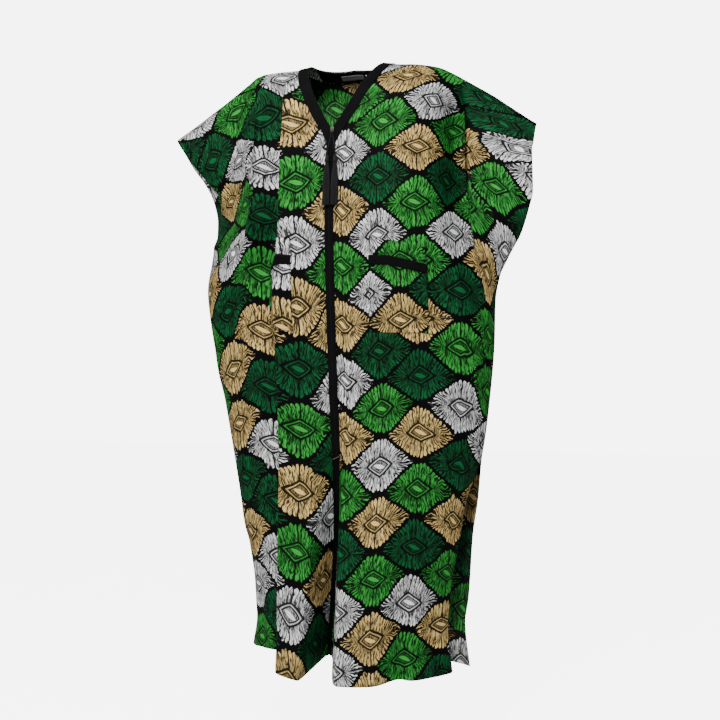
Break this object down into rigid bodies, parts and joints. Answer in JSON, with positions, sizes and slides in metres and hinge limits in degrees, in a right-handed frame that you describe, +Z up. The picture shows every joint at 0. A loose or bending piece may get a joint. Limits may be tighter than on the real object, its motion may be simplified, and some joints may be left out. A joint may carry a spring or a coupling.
{
  "type": "grand boubou robe",
  "caption": "Full-length open-sided robe with cut-on sleeves, a bound V neck, a zipped banded front, patch pockets and tasselled zip cords, filled out as worn.",
  "frame": {"origin": "middle of the wearer's shoulders, at shoulder height in the neck opening, where the wearer holds the robe up", "axes": "+Z up along the body, -Y to the front, +X to the wearer's left"},
  "size_m": [0.899, 0.3468, 1.4264],
  "materials": {
    "printed_cotton": "matte printed plain weave",
    "black_tape": "matte plain weave",
    "tassel_thread": "soft thread",
    "slider_metal": "satin",
    "label_cloth": "woven",
    "tab_cloth": "woven"
  },
  "bodies": {
    "root": {"front_left": "printed_cotton", "front_right": "printed_cotton", "back": "printed_cotton", "pocket_left": "printed_cotton", "pocket_right": "printed_cotton", "neck_binding": "black_tape", "back_neck_tape": "black_tape", "front_band_left": "black_tape", "front_band_right": "black_tape", "pocket_band_left": "black_tape", "pocket_band_right": "black_tape", "zip_slider": "slider_metal", "pull_cord_left": "tassel_thread", "pull_cord_right": "tassel_thread", "tassel_left": "tassel_thread", "tassel_right": "tassel_thread", "neck_label": "label_cloth", "size_tab": "tab_cloth"}
  },
  "joints": []
}
